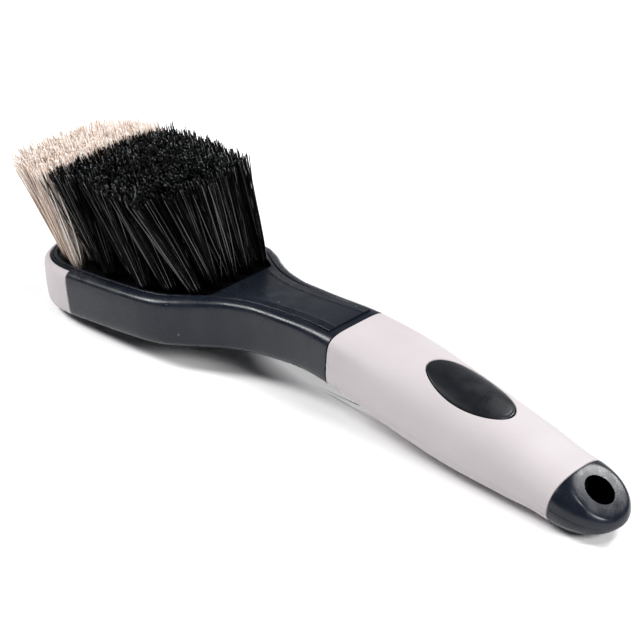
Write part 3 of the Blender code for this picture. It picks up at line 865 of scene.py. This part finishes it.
class Nodes:
    """Short way to write a node tree."""

    def __init__(self, name):
        """Material with a Principled shader and nothing else."""
        self.material = bpy.data.materials.new(name)
        self.material.use_nodes = True
        self.tree = self.material.node_tree
        self.shader = self.tree.nodes["Principled BSDF"]

    def add(self, kind, **values):
        """Node of a kind, with its sockets or its settings given by name."""
        node = self.tree.nodes.new(kind)
        for key, value in values.items():
            if key in node.inputs:
                node.inputs[key].default_value = value
            else:
                setattr(node, key, value)
        return node

    def link(self, out, into):
        """Link from an output to an input."""
        self.tree.links.new(out, into)

    def noise(self, vector, scale, detail):
        """Noise texture, as its factor."""
        node = self.add("ShaderNodeTexNoise", Scale=scale, Detail=detail, Roughness=0.5)
        self.link(vector, node.inputs["Vector"])
        return node.outputs["Fac"]

    def ramp(self, value, stops):
        """Colour ramp through (position, (r, g, b)) stops."""
        node = self.add("ShaderNodeValToRGB")
        elements = node.color_ramp.elements
        while len(elements) < len(stops):
            elements.new(0.5)
        for element, (at, colour) in zip(elements, stops):
            element.position = at
            element.color = (*colour, 1.0)
        self.link(value, node.inputs["Fac"])
        return node.outputs["Color"]

    def span(self, value, low, high, from_low=0.0, from_high=1.0):
        """Value that runs from low to high while the given one runs from from_low to from_high."""
        node = self.add("ShaderNodeMapRange")
        node.inputs["From Min"].default_value = from_low
        node.inputs["From Max"].default_value = from_high
        node.inputs["To Min"].default_value = low
        node.inputs["To Max"].default_value = high
        self.link(value, node.inputs["Value"])
        return node.outputs["Result"]

    def mix(self, share, one, two):
        """Colour between two, each an output or a tuple, by an output for the share of the second."""
        node = self.add("ShaderNodeMix", data_type="RGBA", blend_type="MIX")
        for socket, value in ((node.inputs[0], share), (node.inputs[6], one), (node.inputs[7], two)):
            if isinstance(value, tuple):
                socket.default_value = (*value, 1.0)
            else:
                self.link(value, socket)
        return node.outputs[2]

    def bump(self, height, strength, distance):
        """Bumped normal."""
        node = self.add("ShaderNodeBump", Strength=strength, Distance=distance)
        self.link(height, node.inputs["Height"])
        return node.outputs["Normal"]

    def set(self, **values):
        """Gives the shader's sockets, by name, a value or a link."""
        for key, value in values.items():
            socket = self.shader.inputs[key.replace("_", " ")]
            if isinstance(value, bpy.types.NodeSocket):
                self.link(value, socket)
            elif isinstance(value, tuple):
                socket.default_value = (*value, 1.0)
            else:
                socket.default_value = value


def plastic(name, colour, light, roughness, grain, speck_colour=DUST, sheen=SHEEN):
    """Hard moulded plastic: fine grain, uneven sheen, handling marks and dust specks."""
    n = Nodes(name)
    at = n.add("ShaderNodeTexCoord").outputs["Object"]
    cloudy = n.noise(at, 45.0, 4.0)
    fine = n.noise(at, 2600.0, 2.0)
    specks = n.add("ShaderNodeTexVoronoi", Scale=330.0)
    n.link(at, specks.inputs["Vector"])
    speck = n.span(specks.outputs["Distance"], 1.0, 0.0, 0.03, 0.09)
    some = n.span(n.noise(at, 170.0, 1.0), 0.0, 1.0, 0.6, 0.66)
    both = n.add("ShaderNodeMath", operation="MULTIPLY")
    n.link(speck, both.inputs[0])
    n.link(some, both.inputs[1])
    base = n.ramp(cloudy, [(0.3, colour), (0.75, light)])
    base = n.mix(n.span(fine, 0.0, 0.35, 0.45, 0.7), base, light)
    base = n.mix(both.outputs[0], base, speck_colour)
    rough = n.span(n.noise(at, 160.0, 5.0), roughness - 0.08, roughness + 0.14, 0.3, 0.7)
    n.set(Specular_IOR_Level=sheen)
    n.set(Base_Color=base, Roughness=rough, Normal=n.bump(fine, grain, 0.00006))
    return n.material


def rubber(name, colour, light, roughness):
    """Soft matt rubber: faint mottling, fine skin texture and a little sheen."""
    n = Nodes(name)
    at = n.add("ShaderNodeTexCoord").outputs["Object"]
    cloudy = n.noise(at, 38.0, 4.0)
    fine = n.noise(at, 1500.0, 3.0)
    base = n.ramp(cloudy, [(0.3, colour), (0.7, light)])
    base = n.mix(n.span(fine, 0.0, 0.25, 0.5, 0.75), base, tuple(0.9 * c for c in colour))
    rough = n.span(n.noise(at, 200.0, 4.0), roughness - 0.06, roughness + 0.06, 0.3, 0.7)
    n.set(Base_Color=base, Roughness=rough, Normal=n.bump(fine, 0.35, 0.00008))
    return n.material


def hair(name, dark, light, cut, roughness, shine):
    """Bristle filament: every strand has its own shade, with darker streaks and a cut end of its own colour,
    which on the black strands is a painted glint as well as their paler cut face.
    """
    n = Nodes(name)
    number = n.add("ShaderNodeAttribute", attribute_name="strand").outputs["Fac"]
    at = n.add("ShaderNodeTexCoord").outputs["Object"]
    streak = n.noise(at, 900.0, 2.0)
    base = n.ramp(number, [(0.0, dark), (1.0, light)])
    base = n.mix(n.span(streak, 0.0, 0.5, 0.35, 0.7), base, dark)
    ends = n.add("ShaderNodeAttribute", attribute_name="cut_end").outputs["Fac"]
    base = n.mix(n.span(ends, 0.0, 0.9, 0.3, 1.0), base, cut)
    n.set(Base_Color=base, Roughness=roughness, Specular_IOR_Level=shine)
    return n.material


def finish(obj, materials, slot, *nodes):
    if obj.data.materials:
        obj.data.materials.clear()
    for material in materials:
        obj.data.materials.append(material)
    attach(obj, "root")
    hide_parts(*nodes)


def mark_painted_shade_field(plate):
    """Second material, nearly black, for the plate's faces in and under the sunk bristle field: painted shade
    of the recess round the tuft feet.
    """
    origin, ahead, above = in_frame(np.array([[0.0, 0.0, 0.0], [1.0, 0.0, 0.0], [0.0, 0.0, 1.0]]))
    middles = np.array([face.center for face in plate.data.polygons]) - origin
    x = middles @ (ahead - origin) / MM ** 2
    z = middles @ (above - origin) / MM ** 2
    sunk = (z < HALF_THICKNESSES[0][1] - 0.3) & (x < FIELD_END + 0.2)
    plate.data.polygons.foreach_set("material_index", sunk.astype(np.int32))


dark_plastic = plastic("dark_plastic", (0.005, 0.007, 0.012), (0.010, 0.013, 0.021), 0.25, 0.35)
plate_plastic = plastic("plate_plastic", (0.005, 0.007, 0.012), (0.010, 0.013, 0.020), 0.28, 0.35)
pale_rubber = rubber("pale_rubber", (0.425, 0.388, 0.400), (0.458, 0.425, 0.436), 0.62)
black_rubber = plastic("black_rubber", (0.004, 0.005, 0.007), (0.008, 0.009, 0.012), 0.34, 0.5)
pale_bristle = hair("pale_bristle", (0.62, 0.46, 0.36), (0.98, 0.95, 0.93), (0.80, 0.74, 0.69), 0.32, 0.5)
# The black strands' cut ends are coloured far lighter than the strands: partly their paler cut face, partly a
# painted glint on the tips.
black_bristle = hair("black_bristle", (0.0005, 0.0005, 0.0006), (0.0016, 0.0016, 0.0018),
                     (0.012, 0.012, 0.013), 0.22, 0.06)
glossy_bristle = hair("glossy_bristle", (0.0008, 0.0008, 0.0009), (0.0020, 0.0020, 0.0022),
                      (0.014, 0.014, 0.015), 0.22, 1.0)
# The sunk field's material is painted shade: its near-black colour and low sheen stand in for the shadow down
# in the recess between the tuft feet.
field_painted_shade = plastic("field_painted_shade", (0.001, 0.001, 0.0012), (0.0016, 0.0016, 0.002), 0.4, 0.5,
                        (0.02, 0.02, 0.02), 0.06)

finish(make_body(), [dark_plastic], "dark_plastic", "body")
bristle_plate = make_plate()
finish(bristle_plate, [plate_plastic, field_painted_shade], "plate_plastic", "bristle_plate")
mark_painted_shade_field(bristle_plate)
finish(make_bumper(), [pale_rubber], "pale_rubber", "nose_bumper")
finish(make_sleeve(), [pale_rubber], "pale_rubber", "grip_sleeve")
finish(make_pad(), [black_rubber], "black_rubber", "thumb_pad")
finish(make_cap(), [dark_plastic], "dark_plastic", "end_cap")
for order, (tuft_name, tuft_foot, tuft_tip, tuft_shade) in enumerate(tufts()):
    bundle = make_tuft(tuft_name, tuft_foot, tuft_tip, order)
    if tuft_shade == "pale":
        finish(bundle, [pale_bristle], "pale_bristle", tuft_name)
    else:
        finish(bundle, [black_bristle, glossy_bristle], "black_bristle", tuft_name)

# ---------------------------------------------------------------- floor, light and camera
scene = bpy.context.scene


FLOOR_HALF = 6.0
FLOOR_LEVEL = -0.0002          # just under the frame's floor, so that the soles don't flicker through


def make_floor():
    """Large pale matt floor."""
    bm = bmesh.new()
    bmesh.ops.create_grid(bm, x_segments=2, y_segments=2, size=FLOOR_HALF)
    mesh = bpy.data.meshes.new("floor")
    bm.to_mesh(mesh)
    bm.free()
    floor = bpy.data.objects.new("floor", mesh)
    bpy.context.collection.objects.link(floor)
    floor.location.z = FLOOR_LEVEL
    n = Nodes("floor")
    n.set(Base_Color=(0.93, 0.93, 0.935), Roughness=0.9, Specular_IOR_Level=0.1)
    mesh.materials.append(n.material)


def area_light(name, location, target, size, size_y, power):
    """White rectangle of light that looks at a target."""
    data = bpy.data.lights.new(name, "AREA")
    data.shape = "RECTANGLE"
    data.size = size
    data.size_y = size_y
    data.energy = power
    obj = bpy.data.objects.new(name, data)
    bpy.context.collection.objects.link(obj)
    obj.location = location
    way = Vector(target) - Vector(location)
    obj.rotation_euler = way.to_track_quat("-Z", "Y").to_euler()


def make_world(strength):
    """Faint even light from all round."""
    world = bpy.data.worlds.new("studio")
    scene.world = world
    world.use_nodes = True
    background = world.node_tree.nodes["Background"]
    background.inputs["Color"].default_value = (0.95, 0.97, 1.0, 1.0)
    background.inputs["Strength"].default_value = strength


def make_camera():
    """Camera at CAMERA_AT; its axes are given by where it looks and by its up."""
    data = bpy.data.cameras.new("camera")
    data.lens = CAMERA_LENS
    data.sensor_width = CAMERA_SENSOR
    camera = bpy.data.objects.new("camera", data)
    bpy.context.collection.objects.link(camera)
    back = -Vector(CAMERA_LOOK).normalized()
    right = Vector(CAMERA_UP).cross(back).normalized()
    up = back.cross(right)
    turned = Matrix((right, up, back)).transposed().to_4x4()
    camera.matrix_world = Matrix.Translation(CAMERA_AT) @ turned
    scene.camera = camera


CAMERA_AT = (0.44603, -0.45080, 0.38615)
CAMERA_LOOK = (-0.60853, 0.62195, -0.49282)
CAMERA_UP = (-0.33957, 0.35721, 0.87011)
CAMERA_LENS = 112.5
CAMERA_SENSOR = 36.0

LAMPS = [
    # name, azimuth and elevation seen from the brush, distance, width, height, brightness of its face
    ("left_lamp", 215.0, 46.0, 1.35, 0.42, 0.42, 33.0),
    ("right_lamp", 358.0, 32.0, 1.37, 0.46, 0.42, 25.0),
    ("rear_lamp", 76.0, 40.0, 1.35, 0.36, 0.44, 27.0),
    ("top_lamp", 15.0, 65.0, 1.35, 0.24, 0.18, 26.0),
    ("backdrop", 130.0, 18.0, 1.60, 1.40, 0.42, 0.55),
]
LAMP_TARGET = (0.0, 0.0, 0.03)
WORLD_STRENGTH = 0.06


def make_lamps():
    """The lamps of the list, all turned to the middle of the brush."""
    for name, azimuth, elevation, distance, width, height, brightness in LAMPS:
        around = math.radians(azimuth)
        above = math.radians(elevation)
        out = distance * math.cos(above)
        location = (out * math.cos(around), out * math.sin(around), distance * math.sin(above))
        area_light(name, location, LAMP_TARGET, width, height, brightness * width * height * math.pi)


make_floor()
make_world(WORLD_STRENGTH)
make_lamps()
make_camera()
scene.view_settings.view_transform = "Standard"
